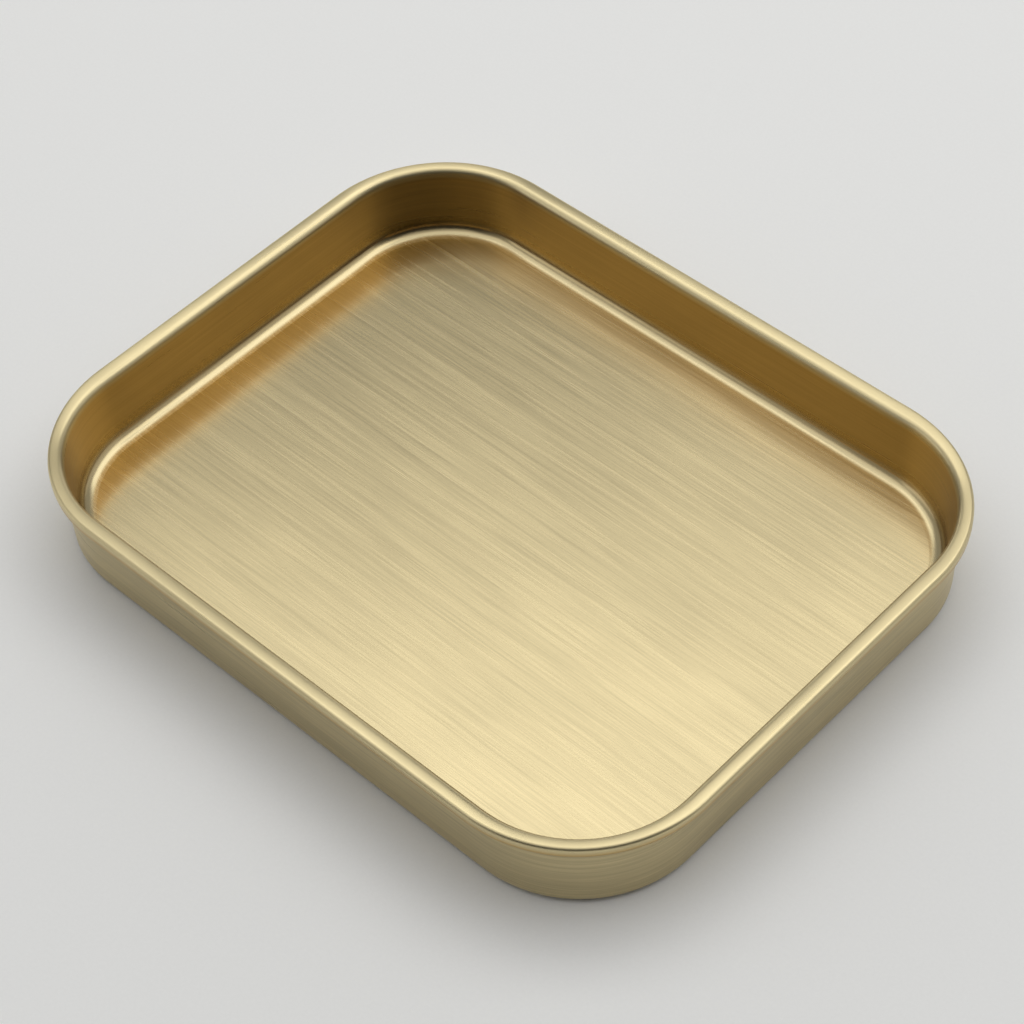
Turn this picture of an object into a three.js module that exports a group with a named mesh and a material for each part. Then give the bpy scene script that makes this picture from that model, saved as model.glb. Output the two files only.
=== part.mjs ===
// Desk tray of brushed brass: two thin pressed skins that share one rolled rim.
// The inner skin (pan) is floor, cove, drafted wall and rim. The outer skin (shell) is the skirt:
// its upper edge stands under the crown of the rim and its lower edge is turned in to carry a board.
// The board stiffens the floor from below and carries four rubber feet.
// Units are millimetres, +Z is up, and the origin is the middle of the surface that the tray stands on.

import * as THREE from 'three';

// Plan, measured over the outer edge of the rim
const trayLength = 200;
const trayWidth = 160;
const cornerRadius = 38;

// How much tighter the inside turns its corners than an even inset from the rim's edge would
const cornerTightening = 1.9;

// Pan
const insideDepth = 20.1;
const panSheet = 0.6;
const panDraft = THREE.MathUtils.degToRad(5.5);
const coveRadius = 3.3;

// Rim, from its outer edge inwards: a roll that turns down and under, a gentle crown, a round shoulder
const rollRadius = 1.6;
const rollTurn = THREE.MathUtils.degToRad(180);
const crownRadius = 5;
const crownFall = THREE.MathUtils.degToRad(20);
const shoulderRadius = 2;

// Shell
const shellSheet = 0.5;
const shellDraft = THREE.MathUtils.degToRad(2);
const shellEdgeRadius = 1.2;
const turnedEdgeWidth = 7;

// Room between the two skins: below the crown, and beside the lowest point of the roll
const skinClearance = 0.3;
const rollGap = 1.1;

// Board and feet
const boardThickness = 3.2;
const boardClearance = 0.4;
const footDiameter = 12;
const footEdgeRadius = 0.8;
const footMargin = 2.5;
const standGap = 1.2;

// Facets
const cornerSteps = 12;
const rollSteps = 10;
const crownSteps = 2;
const shoulderSteps = 6;
const coveSteps = 5;
const edgeSteps = 3;
const footEdgeSteps = 3;
const footSteps = 24;

// Levels, from the standing surface up
const turnedEdgeTop = standGap + shellSheet;
const boardTop = turnedEdgeTop + boardThickness;
const floorTop = boardTop + panSheet;
const rimTop = floorTop + insideDepth;

const RIGHT = 0;
const UP = Math.PI / 2;
const LEFT = Math.PI;
const DOWN = 1.5 * Math.PI;

// Points of an arc. The sweep runs from one angle to the other, whichever is larger.
function arc(centre, radius, from, to, steps) {
  return new THREE.ArcCurve(centre.x, centre.y, radius, from, to, to < from).getPoints(steps);
}

function onCircle(centre, radius, angle) {
  return new THREE.Vector2(centre.x + radius * Math.cos(angle), centre.y + radius * Math.sin(angle));
}

// Centre of the bend between a drafted wall face that starts at `top` and a level face at `level`
function bendCentre(top, draft, radius, level) {
  const wallEnd = level + radius * (1 - Math.sin(draft));
  const wallShift = (top.y - wallEnd) * Math.tan(draft);
  return new THREE.Vector2(top.x + wallShift + radius * Math.cos(draft), level + radius);
}

// Sections are drawn in (inset, height), with insets measured inward from the outer edge of the rim.
// The rim's three arcs touch each other, and the shoulder runs out into the drafted wall.
const rollCentre = new THREE.Vector2(rollRadius, rimTop - rollRadius);
const crownCentre = new THREE.Vector2(rollRadius, rimTop - crownRadius);
const crownEnd = UP - crownFall;
const shoulderCentre = onCircle(crownCentre, crownRadius - shoulderRadius, crownEnd);
const wallTop = onCircle(shoulderCentre, shoulderRadius, panDraft);
const rimWidth = wallTop.x;

// The corner tightens across the rim, and everything inside the rim keeps the tighter corner
function cornerRadiusAt(inset) {
  return cornerRadius - inset - cornerTightening * Math.min(inset / rimWidth, 1);
}

// Rounded rectangle of the tray, drawn in by `inset`, counter-clockwise
function outline(inset) {
  const radius = cornerRadiusAt(inset);
  const reachX = trayLength / 2 - inset - radius;
  const reachY = trayWidth / 2 - inset - radius;
  const corners = [
    [reachX, reachY, RIGHT],
    [-reachX, reachY, UP],
    [-reachX, -reachY, LEFT],
    [reachX, -reachY, DOWN],
  ];
  return corners.flatMap(([x, y, start]) => arc({ x, y }, radius, start, start + UP, cornerSteps));
}

// Carries a section of (inset, height) points round the tray's outline.
// A closed section makes a hoop. An open one starts and ends on flat faces that span the middle.
// Sections run counter-clockwise, with the inset to the right and the height up.
function loft(section, closed) {
  const rings = section.map((point) => outline(point.x).map((p) => [p.x, p.y, point.y]));
  const ringSize = rings[0].length;
  const positions = rings.flat(2);
  const triangles = [];
  const bands = closed ? rings.length : rings.length - 1;
  for (let band = 0; band < bands; band += 1) {
    const here = band * ringSize;
    const there = ((band + 1) % rings.length) * ringSize;
    for (let i = 0; i < ringSize; i += 1) {
      const next = (i + 1) % ringSize;
      triangles.push(here + i, there + i, there + next);
      triangles.push(here + i, there + next, here + next);
    }
  }
  if (!closed) {
    const firstMiddle = positions.length / 3;
    const lastMiddle = firstMiddle + 1;
    const last = (rings.length - 1) * ringSize;
    positions.push(0, 0, section[0].y);
    positions.push(0, 0, section[section.length - 1].y);
    for (let i = 0; i < ringSize; i += 1) {
      const next = (i + 1) % ringSize;
      triangles.push(firstMiddle, i, next);
      triangles.push(lastMiddle, last + next, last + i);
    }
  }
  const geometry = new THREE.BufferGeometry();
  geometry.setAttribute('position', new THREE.Float32BufferAttribute(positions, 3));
  geometry.setIndex(triangles);
  geometry.computeVertexNormals();
  return geometry;
}

// One face of the pan's sheet, `depth` under the visible one, from the floor up to the end of the roll.
// Arcs that touch share a point, which is kept once.
function panFace(depth) {
  const coveCentre = bendCentre(wallTop, panDraft, coveRadius, floorTop);
  return [
    ...arc(coveCentre, coveRadius + depth, DOWN, LEFT + panDraft, coveSteps),
    ...arc(shoulderCentre, shoulderRadius - depth, panDraft, crownEnd, shoulderSteps),
    ...arc(crownCentre, crownRadius - depth, crownEnd, UP, crownSteps).slice(1),
    ...arc(rollCentre, rollRadius - depth, UP, UP + rollTurn, rollSteps).slice(1),
  ];
}

// Pan: up the visible face and back along the hidden one
function panGeometry() {
  return loft([...panFace(0), ...panFace(panSheet).reverse()], false);
}

// The shell stands inside the roll and reaches up under the crown
const shellInset = rollRadius + rollGap;
const underCrown = crownRadius - panSheet - skinClearance;
const shellReach = shellInset + shellSheet - crownCentre.x;
const shellTop = new THREE.Vector2(shellInset, crownCentre.y + Math.sqrt(underCrown ** 2 - shellReach ** 2));

// Where the shell's skirt bends into its turned-in lower edge
const shellBend = bendCentre(shellTop, shellDraft, shellEdgeRadius, standGap);
const turnedEdgeInset = shellBend.x + turnedEdgeWidth;

// Shell: down the outer face, under the turned-in edge and back up the inner face
function shellGeometry() {
  const wallSide = LEFT + shellDraft;
  return loft([
    shellTop,
    ...arc(shellBend, shellEdgeRadius, wallSide, DOWN, edgeSteps),
    new THREE.Vector2(turnedEdgeInset, standGap),
    new THREE.Vector2(turnedEdgeInset, turnedEdgeTop),
    ...arc(shellBend, shellEdgeRadius - shellSheet, DOWN, wallSide, edgeSteps),
    onCircle(shellTop, shellSheet, shellDraft),
  ], true);
}

// Board: lies on the flat of the turned-in edge and bears the pan's floor
function boardGeometry() {
  const boardInset = shellBend.x + boardClearance;
  return loft([new THREE.Vector2(boardInset, boardTop), new THREE.Vector2(boardInset, turnedEdgeTop)], false);
}

// Foot: a low rubber disc with a rounded lower edge, stuck to the board inside the turned-in edge
function footGeometry() {
  const radius = footDiameter / 2;
  const edgeCentre = new THREE.Vector2(radius - footEdgeRadius, footEdgeRadius);
  const profile = [
    new THREE.Vector2(0, 0),
    ...arc(edgeCentre, footEdgeRadius, DOWN, 2 * Math.PI, footEdgeSteps),
    new THREE.Vector2(radius, turnedEdgeTop),
    new THREE.Vector2(0, turnedEdgeTop),
  ];
  return new THREE.LatheGeometry(profile, footSteps).rotateX(Math.PI / 2);
}

const brushedBrass = { color: 0xc9a75f, roughness: 0.35, metalness: 1 };
const fibreboard = { color: 0x2e2823, roughness: 0.85, metalness: 0 };
const rubber = { color: 0x1c1c1d, roughness: 0.7, metalness: 0 };

const tray = new THREE.Group();

function addPiece(name, geometry, finish) {
  const piece = new THREE.Mesh(geometry, new THREE.MeshStandardMaterial(finish));
  piece.name = name;
  tray.add(piece);
  return piece;
}

addPiece('pan', panGeometry(), brushedBrass);
addPiece('shell', shellGeometry(), brushedBrass);
addPiece('base_board', boardGeometry(), fibreboard);

// The feet stand on the diagonals of the corners, clear of the turned-in edge
const edgeCornerRadius = cornerRadiusAt(turnedEdgeInset);
const footReach = (edgeCornerRadius - footDiameter / 2 - footMargin) * Math.SQRT1_2;
const footInset = turnedEdgeInset + edgeCornerRadius - footReach;
const footX = trayLength / 2 - footInset;
const footY = trayWidth / 2 - footInset;
for (const [end, y] of [['front', -footY], ['back', footY]]) {
  for (const [side, x] of [['left', -footX], ['right', footX]]) {
    addPiece(`foot_${end}_${side}`, footGeometry(), rubber).position.set(x, y, 0);
  }
}

export default tray;
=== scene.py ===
# %% [markdown]
# # A brushed brass desk tray
# The tray is two thin brass skins that share one rolled rim: an inner pan with a coved floor, and an outer
# shell whose upper edge stands under the rim. A dark board closes the underside and stands on rubber feet.
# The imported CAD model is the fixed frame. Its facets are right for size and contact, but polished metal
# shows every facet. Smoothing them with a modifier would round the edges of the sheet as well, so this
# lesson sweeps the sections again as fine sheets inside the same box, and gives each piece its own finish.

import math

import bpy
from mathutils import Matrix, Vector


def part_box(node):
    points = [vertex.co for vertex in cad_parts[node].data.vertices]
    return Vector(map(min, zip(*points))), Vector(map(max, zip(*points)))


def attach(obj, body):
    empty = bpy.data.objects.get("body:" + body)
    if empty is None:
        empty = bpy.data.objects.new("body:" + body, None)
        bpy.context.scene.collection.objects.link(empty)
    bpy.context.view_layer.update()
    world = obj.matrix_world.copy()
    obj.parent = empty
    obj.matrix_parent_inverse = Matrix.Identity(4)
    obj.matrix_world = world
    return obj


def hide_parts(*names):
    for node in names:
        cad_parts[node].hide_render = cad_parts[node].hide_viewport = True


MM = 0.001

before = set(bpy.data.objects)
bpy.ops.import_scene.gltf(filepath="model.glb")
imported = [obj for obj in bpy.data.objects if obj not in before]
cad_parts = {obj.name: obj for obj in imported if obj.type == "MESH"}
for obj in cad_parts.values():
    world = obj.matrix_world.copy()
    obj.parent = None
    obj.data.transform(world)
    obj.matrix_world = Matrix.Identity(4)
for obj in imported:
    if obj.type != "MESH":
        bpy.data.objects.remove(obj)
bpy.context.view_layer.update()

# %% [markdown]
# ## Sizes
# Overall sizes come from the frame's own boxes, so the fine sheets always fit the solids. What a box can't
# tell, such as a radius, a sheet thickness or a draft angle, is written here in millimetres. Only the rim's
# outer edge and its crown differ from the solids: the light on the rim shows a flatter top and a tighter
# edge, and the surface moves by a quarter of a millimetre at most.

# %% Sizes from the frame and from the sheet metal
pan_low, pan_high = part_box("pan")
shell_low, shell_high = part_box("shell")
foot_low, foot_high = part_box("foot_back_right")

tray_length = pan_high.x - pan_low.x
tray_width = pan_high.y - pan_low.y
corner_radius = 38 * MM
corner_tightening = 1.9 * MM
rim_top = pan_high.z
roll_radius = 1.0 * MM
roll_height = 3.2 * MM
crown_radius = 14.5 * MM
crown_fall = math.radians(7.5)
shoulder_radius = 2.0 * MM
pan_sheet = 0.6 * MM
pan_draft = math.radians(5.5)
cove_radius = 3.3 * MM
floor_top = pan_low.z + pan_sheet
shell_sheet = 0.5 * MM
shell_draft = math.radians(2)
shell_edge_radius = 1.2 * MM
shell_inset = pan_high.x - shell_high.x
turned_edge_width = 7 * MM
print("floor", round(floor_top / MM, 2), "rim", round(rim_top / MM, 2), "mm above the desk")

# %% [markdown]
# ## Sections
# Each sheet is a section carried round the tray. A section point is an inset from the rim's outer edge and a
# height. It could be drawn with Bezier handles, but arcs and straight stretches are what a press tool makes,
# and they give exact tangents. Smooth shading averages the faces round a vertex, so a short flat
# stretch, the guard, is left on both sides of every bend: it keeps the big flat faces truly flat in
# the reflections.

# %% Section helpers
UP, LEFT, DOWN = math.pi / 2, math.pi, 1.5 * math.pi
GUARD = 0.5 * MM


def on_circle(centre, radius, angle):
    return Vector((centre.x + radius * math.cos(angle), centre.y + radius * math.sin(angle)))


def arc(centre, radius, start, end, steps):
    return [on_circle(centre, radius, start + (end - start) * i / steps) for i in range(steps + 1)]


def guarded_line(start, end):
    step = (end - start).normalized() * GUARD
    return [start + step, end - step]


def bend_centre(wall_top, draft, radius, level):
    """Centre of the bend between a drafted wall face and a level face."""
    wall_end = level + radius * (1 - math.sin(draft))
    wall_shift = (wall_top.y - wall_end) * math.tan(draft)
    return Vector((wall_top.x + wall_shift + radius * math.cos(draft), level + radius))


# %% [markdown]
# The pan's rim is a nearly flat crown, a round shoulder that runs out into the drafted wall, and at the
# outer edge a lip that is rolled down and under. A level face mirrors the same bright ceiling all across,
# so a flat crown shows as one broad pale band, and a rounder one would show as a thin line.

# %% Section of the pan
ROLL_STEPS = 12
CROWN_STEPS = 8
SHOULDER_STEPS = 14
COVE_STEPS = 16

roll_centre = Vector((roll_radius, rim_top - roll_radius))
under_centre = Vector((roll_radius, rim_top - roll_height + roll_radius))
crown_centre = Vector((roll_radius, rim_top - crown_radius))
crown_end = UP - crown_fall
shoulder_centre = on_circle(crown_centre, crown_radius - shoulder_radius, crown_end)
wall_top = on_circle(shoulder_centre, shoulder_radius, pan_draft)
rim_width = wall_top.x
cove_centre = bend_centre(wall_top, pan_draft, cove_radius, floor_top)


def pan_face(depth):
    """The sheet's face that lies `depth` under the visible one, from the floor to the end of the roll."""
    cove = arc(cove_centre, cove_radius + depth, DOWN, LEFT + pan_draft, COVE_STEPS)
    shoulder = arc(shoulder_centre, shoulder_radius - depth, pan_draft, crown_end, SHOULDER_STEPS)
    crown = arc(crown_centre, crown_radius - depth, crown_end, UP, CROWN_STEPS)
    roll = arc(roll_centre, roll_radius - depth, UP, LEFT, ROLL_STEPS)
    under = arc(under_centre, roll_radius - depth, LEFT, DOWN, ROLL_STEPS)
    floor_start = cove[0] + Vector((GUARD, 0))
    wall = guarded_line(cove[-1], shoulder[0])
    lip = guarded_line(roll[-1], under[0])
    return [floor_start] + cove + wall + shoulder + crown[1:] + roll[1:] + lip + under


pan_section = pan_face(0) + pan_face(pan_sheet)[::-1]
print("pan section:", len(pan_section), "points, rim", round(rim_width / MM, 2), "mm wide")

# %% [markdown]
# The shell is a plain skirt with a little draft. Its upper edge is cut square and stands under the rim, and
# its lower edge is turned in to carry the board. Both faces of the sheet share one bend centre, so the sheet
# keeps its thickness round the bend.

# %% Section of the shell
EDGE_STEPS = 8

shell_top = Vector((shell_inset, shell_high.z - shell_sheet * math.sin(shell_draft)))
shell_bend = bend_centre(shell_top, shell_draft, shell_edge_radius, shell_low.z)
turned_edge_inset = shell_bend.x + turned_edge_width


def shell_face(depth):
    """The sheet's face that lies `depth` under the visible one, from top to turned-in edge."""
    top = on_circle(shell_top, depth, shell_draft)
    bend = arc(shell_bend, shell_edge_radius - depth, LEFT + shell_draft, DOWN, EDGE_STEPS)
    edge = Vector((turned_edge_inset, shell_low.z + depth))
    return [top] + guarded_line(top, bend[0]) + bend + guarded_line(bend[-1], edge) + [edge]


shell_section = shell_face(0) + shell_face(shell_sheet)[::-1]
print("shell section:", len(shell_section), "points")

# %% [markdown]
# ## The sweep
# Pan, shell and feet are all a section swept round a rounded rectangle, so one Geometry Nodes tree
# makes them all. Curve to Mesh joins the path and the section into a strip of faces, and every point
# of the strip keeps the path point and the section point that it came from. A Set Position node then
# lays the points out by the tray's rule: the corner gets tighter across the rim, and stays tighter
# everywhere inside it. The open ends of a section are closed with flat faces, and a UV map called
# brush keeps the direction across the brush lines, which the metal's shader needs later.

# %% One function to add a node
def add_node(tree, kind, inputs=None, **settings):
    """Adds a node with its settings. An input takes a value, a socket, or a node for its first output."""
    node = tree.nodes.new(kind)
    for name, value in settings.items():
        setattr(node, name, value)
    for socket, value in (inputs or {}).items():
        if isinstance(value, bpy.types.Node):
            value = value.outputs[0]
        if isinstance(value, bpy.types.NodeSocket):
            tree.links.new(value, node.inputs[socket])
        else:
            node.inputs[socket].default_value = value
    return node


# %% A tree with named inputs
def new_tree(name, inputs):
    """A geometry tree that has the named inputs and one geometry output."""
    tree = bpy.data.node_groups.new(name, "GeometryNodeTree")
    for label, kind in inputs.items():
        tree.interface.new_socket(label, in_out="INPUT", socket_type=kind)
    tree.interface.new_socket("Geometry", in_out="OUTPUT", socket_type="NodeSocketGeometry")
    return tree


def captured(tree, curve):
    """The curve, with each point's place and its distance along the curve kept as attributes."""
    capture = tree.nodes.new("GeometryNodeCaptureAttribute")
    capture.capture_items.new("VECTOR", "Place")
    capture.capture_items.new("FLOAT", "Length")
    tree.links.new(curve, capture.inputs[0])
    tree.links.new(add_node(tree, "GeometryNodeInputPosition").outputs[0], capture.inputs[1])
    tree.links.new(add_node(tree, "GeometryNodeSplineParameter").outputs["Length"], capture.inputs[2])
    return capture.outputs


# %% [markdown]
# The rule for a point: its path point is split into the nearest corner centre and a spoke that points
# outward. The centre moves out by the tightening, and the point lies one radius from it along the spoke,
# where the radius is the corner radius less the inset and the tightening.

# %% Place a swept point
def tray_position(tree, sizes, path_point, section_point):
    """Where a point of the sweep lies, from its path point and its section point."""
    radius = sizes["Corner Radius"]
    plan = add_node(tree, "ShaderNodeCombineXYZ", {0: sizes["Length"], 1: sizes["Width"]})
    half = add_node(tree, "ShaderNodeVectorMath", {0: plan, "Scale": 0.5}, operation="SCALE")
    corner = add_node(tree, "ShaderNodeCombineXYZ", {0: radius, 1: radius})
    reach = add_node(tree, "ShaderNodeVectorMath", {0: half, 1: corner}, operation="SUBTRACT")
    opposite = add_node(tree, "ShaderNodeVectorMath", {0: reach, "Scale": -1.0}, operation="SCALE")
    nearer = add_node(tree, "ShaderNodeVectorMath", {0: path_point, 1: reach}, operation="MINIMUM")
    centre = add_node(tree, "ShaderNodeVectorMath", {0: nearer, 1: opposite}, operation="MAXIMUM")
    spoke = add_node(tree, "ShaderNodeVectorMath", {0: path_point, 1: centre}, operation="SUBTRACT")
    share = add_node(tree, "ShaderNodeMath", {0: 1.0, 1: radius}, operation="DIVIDE")
    outward = add_node(tree, "ShaderNodeVectorMath", {0: spoke, "Scale": share}, operation="SCALE")

    section = add_node(tree, "ShaderNodeSeparateXYZ", {0: section_point}).outputs
    tightening = add_node(tree, "ShaderNodeMapRange", {
        "Value": section["X"], "From Max": sizes["Rim Width"], "To Max": sizes["Tightening"]})
    quarter = add_node(tree, "ShaderNodeVectorMath", {0: centre, 1: reach}, operation="DIVIDE")
    shift = add_node(tree, "ShaderNodeVectorMath", {0: quarter, "Scale": tightening}, operation="SCALE")
    moved = add_node(tree, "ShaderNodeVectorMath", {0: centre, 1: shift}, operation="ADD")
    drawn_in = add_node(tree, "ShaderNodeMath", {0: radius, 1: section["X"]}, operation="SUBTRACT")
    tighter = add_node(tree, "ShaderNodeMath", {0: drawn_in, 1: tightening}, operation="SUBTRACT")
    bend = add_node(tree, "ShaderNodeVectorMath", {0: outward, "Scale": tighter}, operation="SCALE")
    level = add_node(tree, "ShaderNodeVectorMath", {0: moved, 1: bend}, operation="ADD")
    height = add_node(tree, "ShaderNodeCombineXYZ", {2: section["Y"]})
    return add_node(tree, "ShaderNodeVectorMath", {0: level, 1: height}, operation="ADD")


# %% Strip of faces along the path
FILLET_POINTS = 90


def swept_strip(tree, sizes):
    """The section carried round the tray, and the brush map: distance across and along the strip."""
    rectangle = add_node(tree, "GeometryNodeCurvePrimitiveQuadrilateral", {
        "Width": sizes["Length"], "Height": sizes["Width"]}, mode="RECTANGLE")
    rounded = add_node(tree, "GeometryNodeFilletCurve", {
        "Curve": rectangle, "Count": FILLET_POINTS, "Radius": sizes["Corner Radius"]}, mode="POLY")
    even = add_node(tree, "GeometryNodeResampleCurve", {
        "Curve": rounded, "Length": sizes["Step"]}, mode="LENGTH")
    section = add_node(tree, "GeometryNodeObjectInfo", {"Object": sizes["Section"]})
    path, path_point, along = captured(tree, even.outputs[0])[:3]
    profile, section_point, across = captured(tree, section.outputs["Geometry"])[:3]
    joined = add_node(tree, "GeometryNodeCurveToMesh", {"Curve": path, "Profile Curve": profile})
    place = tray_position(tree, sizes, path_point, section_point)
    strip = add_node(tree, "GeometryNodeSetPosition", {"Geometry": joined, "Position": place})
    return strip, add_node(tree, "ShaderNodeCombineXYZ", {0: across, 1: along})


# %% Lids on the open ends
def close_end(tree, strip, level, comparison):
    """Flat face on the open edge loop that lies above or below the level."""
    faces = add_node(tree, "GeometryNodeInputMeshEdgeNeighbors")
    is_open = add_node(tree, "FunctionNodeCompare", {2: faces, 3: 1}, data_type="INT", operation="EQUAL")
    point = add_node(tree, "GeometryNodeInputPosition")
    height = add_node(tree, "ShaderNodeSeparateXYZ", {0: point}).outputs["Z"]
    on_side = add_node(tree, "FunctionNodeCompare", {0: height, 1: level}, operation=comparison)
    both = add_node(tree, "FunctionNodeBooleanMath", {0: is_open, 1: on_side})
    loop = add_node(tree, "GeometryNodeMeshToCurve", {"Mesh": strip, "Selection": both})
    return add_node(tree, "GeometryNodeFillCurve", {"Curve": loop}, mode="NGONS")


def flat_lids(tree, sizes, strip):
    """The flat faces that close the strip, and their brush map, which runs along the tray's length."""
    levels = {"GREATER_THAN": sizes["Upper Level"], "LESS_THAN": sizes["Lower Level"]}
    total = add_node(tree, "ShaderNodeMath", {0: sizes["Upper Level"], 1: sizes["Lower Level"]})
    middle = add_node(tree, "ShaderNodeMath", {0: total, 1: 0.5}, operation="MULTIPLY").outputs[0]
    lids = add_node(tree, "GeometryNodeJoinGeometry")
    for comparison, level in levels.items():
        lid = close_end(tree, strip, middle, comparison)
        if comparison == "LESS_THAN":
            lid = add_node(tree, "GeometryNodeFlipFaces", {"Mesh": lid})
        raised = add_node(tree, "ShaderNodeCombineXYZ", {2: level})
        lid = add_node(tree, "GeometryNodeTransform", {"Geometry": lid, "Translation": raised})
        tree.links.new(lid.outputs[0], lids.inputs[0])
    point = add_node(tree, "GeometryNodeInputPosition")
    place = add_node(tree, "ShaderNodeSeparateXYZ", {0: point}).outputs
    return lids, add_node(tree, "ShaderNodeCombineXYZ", {0: place["Y"], 1: place["X"]})


# %% The sweep tree
WELD = 0.0005 * MM
SHARP_ANGLE = math.radians(40)

sweep = new_tree("sheet_swept_round_tray", {
    "Section": "NodeSocketObject",
    "Length": "NodeSocketFloat",
    "Width": "NodeSocketFloat",
    "Corner Radius": "NodeSocketFloat",
    "Rim Width": "NodeSocketFloat",
    "Tightening": "NodeSocketFloat",
    "Step": "NodeSocketFloat",
    "Upper Level": "NodeSocketFloat",
    "Lower Level": "NodeSocketFloat",
    "Finish": "NodeSocketMaterial",
})


def build_sweep(tree):
    sizes = add_node(tree, "NodeGroupInput").outputs
    strip, round_walls = swept_strip(tree, sizes)
    lids, lengthwise = flat_lids(tree, sizes, strip)
    whole = add_node(tree, "GeometryNodeJoinGeometry")
    for part, brush in ((lids, lengthwise), (strip, round_walls)):
        stored = add_node(tree, "GeometryNodeStoreNamedAttribute", {
            "Geometry": part, "Name": "brush", "Value": brush}, data_type="FLOAT2", domain="CORNER")
        tree.links.new(stored.outputs[0], whole.inputs[0])
    welded = add_node(tree, "GeometryNodeMergeByDistance", {"Geometry": whole, "Distance": WELD})
    smooth = add_node(tree, "GeometryNodeSetShadeSmooth", {"Geometry": welded})
    angle = add_node(tree, "GeometryNodeInputMeshEdgeAngle")
    is_sharp = add_node(tree, "FunctionNodeCompare", {0: angle, 1: SHARP_ANGLE}, operation="GREATER_THAN")
    creased = add_node(tree, "GeometryNodeSetShadeSmooth", {
        "Geometry": smooth, "Selection": is_sharp, "Shade Smooth": False}, domain="EDGE")
    real = add_node(tree, "GeometryNodeRealizeInstances", {"Geometry": creased})
    finished = add_node(tree, "GeometryNodeSetMaterial", {"Geometry": real, "Material": sizes["Finish"]})
    add_node(tree, "NodeGroupOutput", {"Geometry": finished})


build_sweep(sweep)
print("sweep tree:", len(sweep.nodes), "nodes")

# %% [markdown]
# A tree runs as a modifier on an empty object. A modifier could stay live, but the frame wants plain meshes,
# so the evaluated result is kept as a mesh and the modifier goes. The section reaches the tree as a curve
# object, which is removed once the sheets are made.

# %% Run a tree and keep its mesh
def section_curve(name, points, closed):
    """A flat curve object whose points are the section's insets and heights."""
    curve = bpy.data.curves.new(name, "CURVE")
    curve.dimensions = "2D"
    curve.fill_mode = "NONE"
    spline = curve.splines.new("POLY")
    spline.points.add(len(points) - 1)
    for corner, point in zip(spline.points, points):
        corner.co = (point.x, point.y, 0, 1)
    spline.use_cyclic_u = closed
    holder = bpy.data.objects.new(name, curve)
    bpy.context.scene.collection.objects.link(holder)
    return holder


def run_tree(name, tree, values):
    """Evaluates a tree with its named inputs and returns a plain mesh object at the origin."""
    piece = bpy.data.objects.new(name, bpy.data.meshes.new(name + "_start"))
    bpy.context.scene.collection.objects.link(piece)
    modifier = piece.modifiers.new("tree", "NODES")
    modifier.node_group = tree
    for item in tree.interface.items_tree:
        if item.in_out == "INPUT":
            modifier[item.identifier] = values[item.name]
    bpy.context.view_layer.update()
    graph = bpy.context.evaluated_depsgraph_get()
    made = bpy.data.meshes.new_from_object(piece.evaluated_get(graph), depsgraph=graph)
    piece.modifiers.clear()
    piece.data = made
    made.name = name
    print(name, len(made.polygons), "faces", [round(side / MM, 2) for side in piece.dimensions], "mm")
    return piece


# %% [markdown]
# ## Finishes
# Colours are written as sRGB hex values, as a colour picker shows them, and turned to linear light by one
# function. Every pattern is sized in millimetres and read from Object coordinates, which are metres here.
# Image textures would need a picture of each finish; noise that is stretched to the real grain needs none.

# %% Colour helper and a new material
NOISE_ROUGHNESS = 0.55
SEED_STEPS = (1.0, 1.7, 2.3)


def linear(hex_colour):
    """Linear RGBA of an sRGB hex colour."""
    parts = [int(hex_colour[i:i + 2], 16) / 255 for i in (1, 3, 5)]
    return tuple(p / 12.92 if p <= 0.04045 else ((p + 0.055) / 1.055) ** 2.4 for p in parts) + (1.0,)


def new_finish(name):
    """An empty material: its tree, its Principled shader and its Object coordinates."""
    finish = bpy.data.materials.new(name)
    finish.use_nodes = True
    tree = finish.node_tree
    tree.nodes.clear()
    shader = add_node(tree, "ShaderNodeBsdfPrincipled")
    add_node(tree, "ShaderNodeOutputMaterial", {"Surface": shader})
    place = add_node(tree, "ShaderNodeTexCoord").outputs["Object"]
    return finish, tree, shader, place


def stretched_noise(tree, place, spacing, detail, seed):
    """Noise whose grain is `spacing` metres long in X, Y and Z, moved off by a seed."""
    moved = [seed * step for step in SEED_STEPS]
    grain = add_node(tree, "ShaderNodeMapping", {
        "Vector": place, "Location": moved, "Scale": [1 / size for size in spacing]})
    noise = add_node(tree, "ShaderNodeTexNoise", {
        "Vector": grain, "Scale": 1.0, "Detail": detail, "Roughness": NOISE_ROUGHNESS})
    return noise.outputs["Fac"]


# %% [markdown]
# ### Brushed brass
# The sheet is yellow brass with a hairline finish: a belt has drawn fine scratches along the floor's length
# and along the walls. The scratches scatter light sideways, so highlights stretch across them. The shader's
# anisotropy does that: the tangent is the brush map's U, which runs across the scratches. The belt can't
# reach into the cove, which keeps the smooth face of the pressed sheet and shows a crisp line of light.
# The floor takes the brushed gold. The walls take a deeper, warmer gold, which is painted shade: it stands
# in for the dimmer, more saturated light that bounces between the walls and the floor. The rim takes the
# palest gold, which is painted highlight on its crown.
# Hairlines, wider streaks, broad bands and slow patches vary the tone, and a faint bump breaks up the
# reflections.

# %% Golds and lines of the brass
BRUSHED_GOLD = "#C9BA91"
# Painted shade: the walls' deeper, warmer gold stands in for the dimmer light between walls and floor
SHADED_WALL_GOLD = "#BC9857"
# Painted highlight: the rim's paler gold adds to the light on its crown
HIGHLIT_RIM_GOLD = "#D2C398"
DARK_LINES = 0.86
PALE_LINES = 1.14

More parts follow.
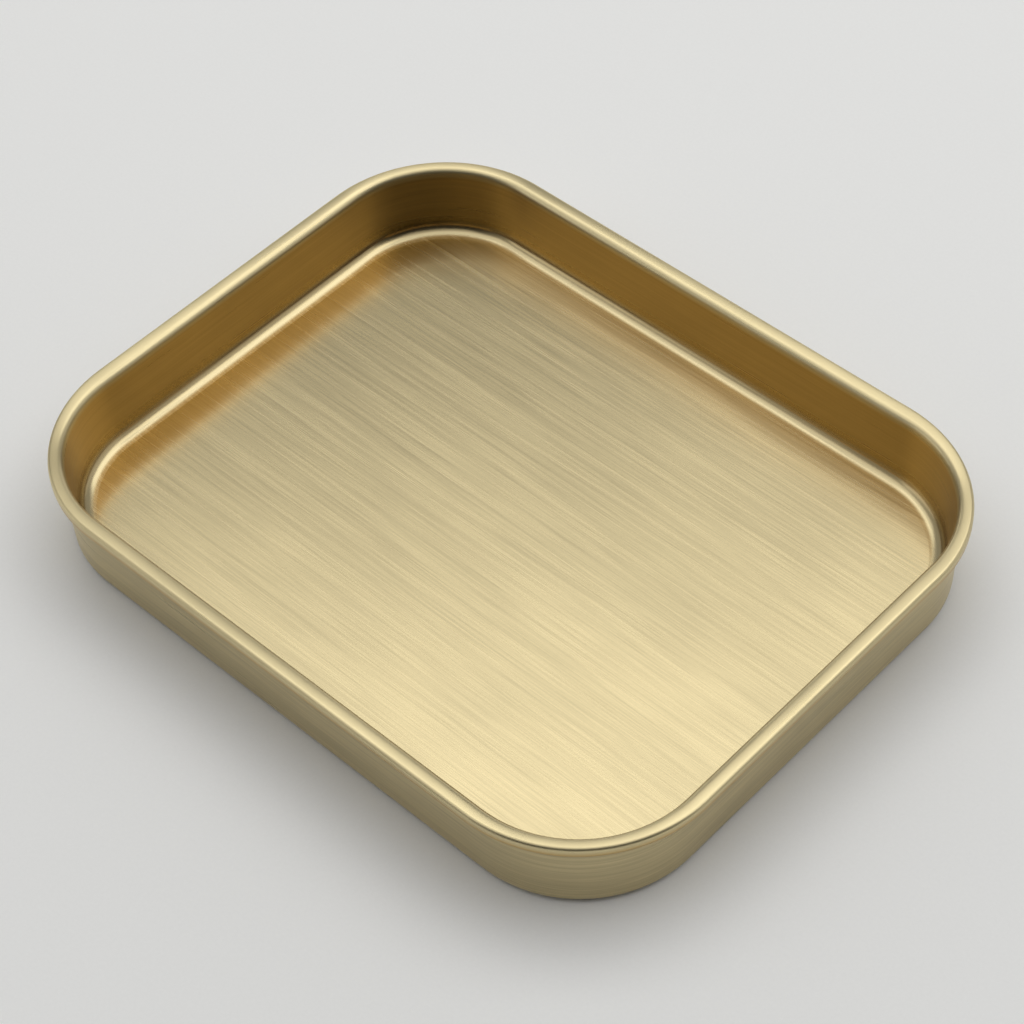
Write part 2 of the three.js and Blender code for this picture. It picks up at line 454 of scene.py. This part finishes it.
# A real hairline is under 0.1 mm wide, too fine to show in the render, so it is drawn four times wider.
HAIRLINE = {"length": 22 * MM, "width": 0.36 * MM, "detail": 2.0, "seed": 3.0}
STREAK = {"length": 50 * MM, "width": 0.9 * MM, "detail": 2.0, "seed": 11.0}
BAND = {"length": 120 * MM, "width": 4 * MM, "detail": 1.0, "seed": 17.0}
PATCH = {"spacing": (40 * MM, 25 * MM, 25 * MM), "detail": 2.0, "seed": 23.0}
WALL_SEED_STEP = 5
# Metres: so long that the floor's lines don't change with height
UNCHANGED = 1.0


def brush_lines(tree, place, on_wall, length, width, detail, seed):
    """Lines along the floor's length, and level lines round the walls."""
    floor = stretched_noise(tree, place, (length, width, UNCHANGED), detail, seed)
    wall = stretched_noise(tree, place, (length, length, width), detail, seed + WALL_SEED_STEP)
    return add_node(tree, "ShaderNodeMix", {"Factor": on_wall, 2: floor, 3: wall})


# %% Colour and roughness by height
def height_zones(tree, height, zones):
    """A ramp up the sheet. A zone is a height, a colour and a roughness, which the ramp's alpha keeps."""
    lowest = zones[0][0]
    span = zones[-1][0] - lowest
    share = add_node(tree, "ShaderNodeMapRange", {
        "Value": height, "From Min": lowest, "From Max": lowest + span})
    ramp = add_node(tree, "ShaderNodeValToRGB", {"Fac": share})
    stops = ramp.color_ramp.elements
    # New stops start in the middle of the ramp and get their own places after that
    while len(stops) < len(zones):
        stops.new(0.5)
    for stop, (level, gold, roughness) in zip(stops, zones):
        stop.position = (level - lowest) / span
        stop.color = linear(gold)[:3] + (roughness,)
    return ramp


# %% Tone of the lines
MEAN_TONE = 0.5
MEAN_NOISE = 0.5


def line_shade(tree, on_wall, wall_lines, patterns):
    """How dark or pale the metal is, from patterns and their weights."""
    # The start balances the patterns, so that the weighted sum lies round the mean tone.
    tone = MEAN_TONE - MEAN_NOISE * sum(weight for pattern, weight in patterns)
    for pattern, weight in patterns:
        tone = add_node(tree, "ShaderNodeMath", {
            0: pattern, 1: weight, 2: tone}, operation="MULTIPLY_ADD")
    floor_shade = add_node(tree, "ShaderNodeMapRange", {
        "Value": tone, "To Min": DARK_LINES, "To Max": PALE_LINES})
    wall_shade = add_node(tree, "ShaderNodeMix", {"Factor": wall_lines, 2: 1.0, 3: floor_shade})
    return add_node(tree, "ShaderNodeMix", {"Factor": on_wall, 2: floor_shade, 3: wall_shade})


# %% The brass finish
ANISOTROPY = 0.8
WALL_START = 0.2 * MM
HAIRLINE_WEIGHT = 1.7
STREAK_WEIGHT = 1.7
BAND_WEIGHT = 0.5
PATCH_WEIGHT = 0.8
ROUGHNESS_SPREAD = 0.12
SCRATCH_STRENGTH = 0.3
SCRATCH_DEPTH = 0.02 * MM
WALL_SCRATCH = 0.4


def brushed_brass(name, floor_level, wall_lines, zones):
    """Brass brushed along its floor, whose walls show the share `wall_lines` of the lines' contrast."""
    finish, tree, shader, place = new_finish(name)
    height = add_node(tree, "ShaderNodeSeparateXYZ", {0: place}).outputs["Z"]
    on_wall = add_node(tree, "ShaderNodeMapRange", {
        "Value": height, "From Min": floor_level, "From Max": floor_level + WALL_START})
    hairline = brush_lines(tree, place, on_wall, **HAIRLINE)
    streak = brush_lines(tree, place, on_wall, **STREAK)
    band = brush_lines(tree, place, on_wall, **BAND)
    patch = stretched_noise(tree, place, **PATCH)
    shade = line_shade(tree, on_wall, wall_lines, [
        (hairline, HAIRLINE_WEIGHT),
        (streak, STREAK_WEIGHT),
        (band, BAND_WEIGHT),
        (patch, PATCH_WEIGHT),
    ])
    ramp = height_zones(tree, height, zones)
    colour = add_node(tree, "ShaderNodeVectorMath", {
        0: ramp.outputs["Color"], "Scale": shade}, operation="SCALE")
    smoothest = add_node(tree, "ShaderNodeMath", {
        0: ramp.outputs["Alpha"], 1: ROUGHNESS_SPREAD / 2}, operation="SUBTRACT")
    rough = add_node(tree, "ShaderNodeMath", {
        0: streak, 1: ROUGHNESS_SPREAD, 2: smoothest}, operation="MULTIPLY_ADD")
    wall_scratch = add_node(tree, "ShaderNodeMath", {
        0: hairline, 1: WALL_SCRATCH * wall_lines}, operation="MULTIPLY")
    scratch = add_node(tree, "ShaderNodeMix", {"Factor": on_wall, 2: hairline, 3: wall_scratch})
    bump = add_node(tree, "ShaderNodeBump", {
        "Strength": SCRATCH_STRENGTH, "Distance": SCRATCH_DEPTH, "Height": scratch})
    tangent = add_node(tree, "ShaderNodeTangent", direction_type="UV_MAP", uv_map="brush")
    shader.inputs["Metallic"].default_value = 1.0
    shader.inputs["Anisotropic"].default_value = ANISOTROPY
    for socket, node in (
        ("Base Color", colour),
        ("Roughness", rough),
        ("Normal", bump),
        ("Tangent", tangent),
    ):
        tree.links.new(node.outputs[0], shader.inputs[socket])
    return finish


# %% [markdown]
# The two skins share the finish with different zones. On the pan the brushed floor runs into the cove, the
# wall follows in the deeper gold of painted shade, and near the top of the wall the rim takes over in the
# paler gold of painted highlight. The belt hardly touches the pan's walls, so their lines have half the
# contrast. The shell is brushed all the way up.

# %% Brass of the pan and of the shell
FLOOR_ROUGHNESS = 0.26
COVE_ROUGHNESS = 0.2
WALL_ROUGHNESS = 0.3
RIM_ROUGHNESS = 0.29
COVE_START = 0.3 * MM
WALL_BLEND = 2 * MM
RIM_BLEND = 1 * MM
PAN_WALL_LINES = 0.5
SHELL_WALL_LINES = 1.0
# The shell has no floor. This level lies below it, so all of it counts as wall.
BELOW_SHELL = -1.0 * MM

cove_top = floor_top + cove_radius
pan_brass = brushed_brass("brushed_brass_pan", floor_top, PAN_WALL_LINES, [
    (floor_top, BRUSHED_GOLD, FLOOR_ROUGHNESS),
    (floor_top + COVE_START, BRUSHED_GOLD, COVE_ROUGHNESS),
    # From the cove up the wall's gold is painted shade, and the rim's gold at the top is painted highlight
    (cove_top, SHADED_WALL_GOLD, COVE_ROUGHNESS),
    (cove_top + WALL_BLEND, SHADED_WALL_GOLD, WALL_ROUGHNESS),
    (wall_top.y - RIM_BLEND, SHADED_WALL_GOLD, WALL_ROUGHNESS),
    (wall_top.y + RIM_BLEND, HIGHLIT_RIM_GOLD, RIM_ROUGHNESS),
    (rim_top, HIGHLIT_RIM_GOLD, RIM_ROUGHNESS),
])
shell_brass = brushed_brass("brushed_brass_shell", BELOW_SHELL, SHELL_WALL_LINES, [
    (0.0, BRUSHED_GOLD, WALL_ROUGHNESS),
    (rim_top, BRUSHED_GOLD, WALL_ROUGHNESS),
])
for finish in (pan_brass, shell_brass):
    print(finish.name, len(finish.node_tree.nodes), "nodes")

# %% Sweep the pan and the shell
PATH_STEP = 1.8 * MM

plan = {
    "Length": tray_length, "Width": tray_width, "Corner Radius": corner_radius,
    "Rim Width": rim_width, "Tightening": corner_tightening, "Step": PATH_STEP,
}
pan_curve = section_curve("pan_section", pan_section, closed=False)
pan = run_tree("brass_pan", sweep, {
    **plan, "Section": pan_curve, "Finish": pan_brass,
    "Upper Level": floor_top, "Lower Level": floor_top - pan_sheet,
})
shell_curve = section_curve("shell_section", shell_section, closed=True)
shell = run_tree("brass_shell", sweep, {
    **plan, "Section": shell_curve, "Finish": shell_brass,
    "Upper Level": 0.0, "Lower Level": 0.0,
})

# %% [markdown]
# ## Feet
# Four low rubber discs, moulded with a rounded lower edge and stuck to the board. A lathe could turn
# them, but a disc is also the same sweep with the corner radius grown to nearly half the width. A
# second tree instances it on the four corners of a grid. Rubber is matt, faintly grainy and a little
# paler where it is worn.

# %% Rubber
RUBBER_BLACK = "#1B1B1C"
RUBBER_WORN = "#2B2B2C"
RUBBER_ROUGHNESS = 0.75
# Real rubber has a finer grain, which would not show. It is drawn as coarse as it needs to show.
RUBBER_GRAIN = 0.5 * MM
PIT_DEPTH = 0.03 * MM
PIT_STRENGTH = 0.4

rubber, tree, shader, place = new_finish("moulded_black_rubber")
grain = stretched_noise(tree, place, (RUBBER_GRAIN, RUBBER_GRAIN, RUBBER_GRAIN), detail=3.0, seed=31.0)
colour = add_node(tree, "ShaderNodeMix", {
    "Factor": grain, 6: linear(RUBBER_BLACK), 7: linear(RUBBER_WORN)}, data_type="RGBA")
bump = add_node(tree, "ShaderNodeBump", {
    "Strength": PIT_STRENGTH, "Distance": PIT_DEPTH, "Height": grain})
tree.links.new(colour.outputs[2], shader.inputs["Base Color"])
tree.links.new(bump.outputs[0], shader.inputs["Normal"])
shader.inputs["Roughness"].default_value = RUBBER_ROUGHNESS
print(rubber.name, len(tree.nodes), "nodes")

# %% Section of a foot
FOOT_EDGE_RADIUS = 0.8 * MM

foot_diameter = foot_high.x - foot_low.x
foot_middle = (foot_low + foot_high) / 2
edge_centre = Vector((FOOT_EDGE_RADIUS, foot_low.z + FOOT_EDGE_RADIUS))
foot_edge = arc(edge_centre, FOOT_EDGE_RADIUS, DOWN, LEFT, EDGE_STEPS)
foot_top = Vector((0, foot_high.z))
inward = Vector((GUARD, 0))
foot_section = [foot_top + inward, foot_top] + foot_edge[::-1] + [foot_edge[0] + inward]
print("foot section:", len(foot_section), "points")

# %% Tree of the feet
# A foot has no rim and its corners don't tighten. Any width but zero will do.
UNUSED_RIM = 1.0

feet_tree = new_tree("feet_on_corners", {
    "Section": "NodeSocketObject",
    "Diameter": "NodeSocketFloat",
    "Corner Radius": "NodeSocketFloat",
    "Step": "NodeSocketFloat",
    "Top": "NodeSocketFloat",
    "Spacing X": "NodeSocketFloat",
    "Spacing Y": "NodeSocketFloat",
    "Finish": "NodeSocketMaterial",
})
sizes = add_node(feet_tree, "NodeGroupInput").outputs
disc = add_node(feet_tree, "GeometryNodeGroup", node_tree=sweep)
for label, source in (
    ("Section", "Section"),
    ("Length", "Diameter"),
    ("Width", "Diameter"),
    ("Step", "Step"),
    ("Corner Radius", "Corner Radius"),
    ("Upper Level", "Top"),
    ("Finish", "Finish"),
):
    feet_tree.links.new(sizes[source], disc.inputs[label])
disc.inputs["Rim Width"].default_value = UNUSED_RIM
corners = add_node(feet_tree, "GeometryNodeMeshGrid", {
    "Size X": sizes["Spacing X"], "Size Y": sizes["Spacing Y"], "Vertices X": 2, "Vertices Y": 2})
copies = add_node(feet_tree, "GeometryNodeInstanceOnPoints", {"Points": corners, "Instance": disc})
real = add_node(feet_tree, "GeometryNodeRealizeInstances", {"Geometry": copies})
finished = add_node(feet_tree, "GeometryNodeSetMaterial", {"Geometry": real, "Material": sizes["Finish"]})
add_node(feet_tree, "NodeGroupOutput", {"Geometry": finished})
print("feet tree:", len(feet_tree.nodes), "nodes")

# %% Make the feet
FOOT_STEP = 0.6 * MM
NEARLY_ROUND = 0.998

foot_curve = section_curve("foot_section", foot_section, closed=False)
feet = run_tree("rubber_feet", feet_tree, {
    "Section": foot_curve,
    "Diameter": foot_diameter,
    "Corner Radius": NEARLY_ROUND * foot_diameter / 2,
    "Step": FOOT_STEP,
    "Top": foot_high.z,
    "Spacing X": 2 * foot_middle.x,
    "Spacing Y": 2 * foot_middle.y,
    "Finish": rubber,
})

# %% [markdown]
# The fine pieces stand in for their solids, which are hidden, and ride on the tray's only body.
# The solids stay as they are in the frame. The section curves have done their work and go.

# %% Stand the sheets and the feet in for the solids
for piece, nodes, slot in (
    (pan, ["pan"], "pan_brass"),
    (shell, ["shell"], "shell_brass"),
    (feet, ["foot_front_left", "foot_front_right", "foot_back_left", "foot_back_right"], "foot_rubber"),
):
    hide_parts(*nodes)
    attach(piece, "root")
    print(piece.name, "stands for", ", ".join(nodes))
for holder in (pan_curve, shell_curve, foot_curve):
    bpy.data.objects.remove(holder)

# %% [markdown]
# ## The board underneath
# The board is a plain cut sheet, so its CAD solid stays and only gets its finish: dark stained hardboard,
# pressed from wood fibres. The fibres show as a fine felt of lighter flecks, and the stain soaks in
# unevenly.

# %% Dark stained hardboard
BOARD_DARK = "#241E19"
BOARD_PALE = "#44382E"
BOARD_ROUGHNESS = 0.85
FIBRE = (1.4 * MM, 0.5 * MM, 0.5 * MM)
STAIN_PATCH = 18 * MM
FIBRE_RELIEF = 0.05 * MM
FIBRE_STRENGTH = 0.5
FEWEST_FLECKS = 0.12
MOST_FLECKS = 0.42

board_finish, tree, shader, place = new_finish("dark_stained_hardboard")
felt = stretched_noise(tree, place, FIBRE, detail=4.0, seed=41.0)
stain = stretched_noise(tree, place, (STAIN_PATCH, STAIN_PATCH, STAIN_PATCH), detail=2.0, seed=47.0)
both = add_node(tree, "ShaderNodeMath", {0: felt, 1: stain}, operation="MULTIPLY")
shade = add_node(tree, "ShaderNodeMapRange", {
    "Value": both, "From Min": FEWEST_FLECKS, "From Max": MOST_FLECKS})
colour = add_node(tree, "ShaderNodeMix", {
    "Factor": shade, 6: linear(BOARD_DARK), 7: linear(BOARD_PALE)}, data_type="RGBA")
bump = add_node(tree, "ShaderNodeBump", {
    "Strength": FIBRE_STRENGTH, "Distance": FIBRE_RELIEF, "Height": felt})
tree.links.new(colour.outputs[2], shader.inputs["Base Color"])
tree.links.new(bump.outputs[0], shader.inputs["Normal"])
shader.inputs["Roughness"].default_value = BOARD_ROUGHNESS
for board_slot in bpy.data.objects["base_board"].material_slots:
    board_slot.material = board_finish
print(board_finish.name, len(tree.nodes), "nodes")

# %% [markdown]
# ## The stage
# A plain sheet of pale paper carries the tray and its shadow. A bent backdrop would do as well, but
# from this high the camera sees only the floor. The paper has a faint tooth, which keeps it from
# looking painted.

# %% Floor
FLOOR_SIZE = 12.0
PAPER_GREY = "#F5F5F3"
PAPER_WHITE = "#FAFAF8"
# Real paper has a finer tooth, which would not show. It is drawn as coarse as it needs to show.
PAPER_TOOTH = 0.8 * MM
PAPER_ROUGHNESS = 0.9

half = FLOOR_SIZE / 2
floor_corners = [(-half, -half, 0), (half, -half, 0), (half, half, 0), (-half, half, 0)]
floor_mesh = bpy.data.meshes.new("studio_floor")
floor_mesh.from_pydata(floor_corners, [], [(0, 1, 2, 3)])
studio_floor = bpy.data.objects.new("studio_floor", floor_mesh)
bpy.context.scene.collection.objects.link(studio_floor)
paper, tree, shader, place = new_finish("pale_paper_floor")
tooth = stretched_noise(tree, place, (PAPER_TOOTH, PAPER_TOOTH, PAPER_TOOTH), detail=2.0, seed=53.0)
colour = add_node(tree, "ShaderNodeMix", {
    "Factor": tooth, 6: linear(PAPER_GREY), 7: linear(PAPER_WHITE)}, data_type="RGBA")
tree.links.new(colour.outputs[2], shader.inputs["Base Color"])
shader.inputs["Roughness"].default_value = PAPER_ROUGHNESS
floor_mesh.materials.append(paper)
print("floor", FLOOR_SIZE, "m wide,", paper.name)

# %% [markdown]
# ## Light
# Metal is a mirror, so each lamp is shaped by what the tray should reflect. The tray's floor and the rim's
# top look up into five soft panels, which are brightest behind and at the right. Low softboxes at the left
# and behind, and a dimmer one at the right, light the shoulders of the rim and the cove. One large
# lamp would be simpler, but it would leave the floor without its slow shading from front to back.
# Places are given as the camera sees them: sideways, away and up, in metres.

# %% A softbox
VIEW_AZIMUTH = math.radians(45.23)


def seen_from_camera(sideways, away, height):
    """A point to the right of the tray, behind it and above the floor, as the camera sees it."""
    right = Vector((math.cos(VIEW_AZIMUTH), math.sin(VIEW_AZIMUTH), 0))
    far = Vector((-math.sin(VIEW_AZIMUTH), math.cos(VIEW_AZIMUTH), 0))
    return right * sideways + far * away + Vector((0, 0, height))


def softbox(name, place, facing, width, depth, radiance):
    """A rectangular lamp, turned to face a point, whose face has the given radiance."""
    lamp = bpy.data.lights.new(name, "AREA")
    lamp.shape = "RECTANGLE"
    lamp.size = width
    lamp.size_y = depth
    lamp.energy = radiance * math.pi * width * depth
    holder = bpy.data.objects.new(name, lamp)
    bpy.context.scene.collection.objects.link(holder)
    lamp_back = (place - facing).normalized()
    up_and_away = seen_from_camera(0, 1, 1)
    lamp_up = (up_and_away - lamp_back * lamp_back.dot(up_and_away)).normalized()
    lamp_right = lamp_up.cross(lamp_back)
    turned = Matrix((lamp_right, lamp_up, lamp_back)).transposed()
    holder.matrix_world = Matrix.Translation(place) @ turned.to_4x4()


# %% Panels overhead and upright softboxes
OVERHEAD = 1.2

# Name, sideways, away, width, depth and radiance
panels = (
    ("overhead_near", 0.0, -0.75, 1.4, 0.7, 0.35),
    ("overhead_front", 0.0, -0.05, 1.0, 0.7, 0.66),
    ("overhead_back", 0.0, 0.65, 1.0, 0.7, 1.47),
    ("overhead_left", -0.85, 0.3, 0.7, 1.4, 0.65),
    ("overhead_right", 0.85, 0.3, 0.7, 1.4, 1.35),
)
for name, sideways, away, width, depth, radiance in panels:
    lamp_place = seen_from_camera(sideways, away, OVERHEAD)
    below = seen_from_camera(sideways, away, 0)
    softbox(name, lamp_place, below, width, depth, radiance)

# Name, sideways, away, height of the middle, width, height of the face and radiance
uprights = (
    ("low_left", -1.2, 0.2, 0.25, 1.4, 0.5, 0.53),
    ("right", 1.2, 0.2, 0.5, 1.4, 1.0, 0.25),
    ("low_back", 0.0, 1.2, 0.25, 1.6, 0.5, 0.5),
)
for name, sideways, away, height, width, depth, radiance in uprights:
    lamp_place = seen_from_camera(sideways, away, height)
    tray_axis = seen_from_camera(0, 0, height)
    softbox(name, lamp_place, tray_axis, width, depth, radiance)
print(len(panels), "panels overhead and", len(uprights), "upright softboxes")

# %% [markdown]
# The room round the lamps is an even grey that fills the gaps between them. It is dark on the camera's side,
# which is what makes the far corner and the outer edge of the near rim deep gold.

# %% The room
ROOM_DARK = 0.02
ROOM_BRIGHT = 0.37
DARK_SIDE_END = -0.75
BRIGHT_SIDE_START = -0.25

world = bpy.data.worlds.new("dim_room")
bpy.context.scene.world = world
world.use_nodes = True
tree = world.node_tree
direction = add_node(tree, "ShaderNodeTexCoord").outputs["Generated"]
behind_tray = seen_from_camera(0, 1, 0)
facing = add_node(tree, "ShaderNodeVectorMath", {0: direction, 1: behind_tray}, operation="DOT_PRODUCT")
grey = add_node(tree, "ShaderNodeMapRange", {
    "Value": facing.outputs["Value"], "From Min": DARK_SIDE_END, "From Max": BRIGHT_SIDE_START,
    "To Min": ROOM_DARK, "To Max": ROOM_BRIGHT}, interpolation_type="SMOOTHSTEP")
tree.links.new(grey.outputs[0], tree.nodes["Background"].inputs["Color"])
print("room from", ROOM_DARK, "to", ROOM_BRIGHT)

# %% [markdown]
# ## Camera
# The camera was found by fitting the rim, the floor line and the skirt of the tray to the photograph: it
# looks down at about 49 degrees from the front right, with a slight roll. Its focal length is given in
# pixels of a frame of 1024, as the fit gives it, and turned into millimetres on the sensor.

# %% Camera
VIEW_ELEVATION = math.radians(49.15)
VIEW_ROLL = math.radians(-3.28)
VIEW_DISTANCE = 654.7 * MM
VIEW_AIM = Vector((11.14 * MM, -9.02 * MM, pan_high.z))
FRAME_PIXELS = 1024
FOCAL_PIXELS = 2746.2
SENSOR_WIDTH = 36.0

back = Vector((math.sin(VIEW_AZIMUTH) * math.cos(VIEW_ELEVATION),
               -math.cos(VIEW_AZIMUTH) * math.cos(VIEW_ELEVATION),
               math.sin(VIEW_ELEVATION)))
lens = bpy.data.cameras.new("camera")
lens.sensor_width = SENSOR_WIDTH
lens.lens = SENSOR_WIDTH * FOCAL_PIXELS / FRAME_PIXELS
camera = bpy.data.objects.new("camera", lens)
bpy.context.scene.collection.objects.link(camera)
level_view = back.to_track_quat("Z", "Y").to_matrix().to_4x4()
camera.matrix_world = (Matrix.Translation(VIEW_AIM + back * VIEW_DISTANCE) @ level_view
                       @ Matrix.Rotation(VIEW_ROLL, 4, "Z"))
bpy.context.scene.camera = camera
bpy.context.scene.view_settings.view_transform = "Standard"
print("lens", round(lens.lens, 1), "mm, camera", round(VIEW_DISTANCE / MM), "mm from the rim")
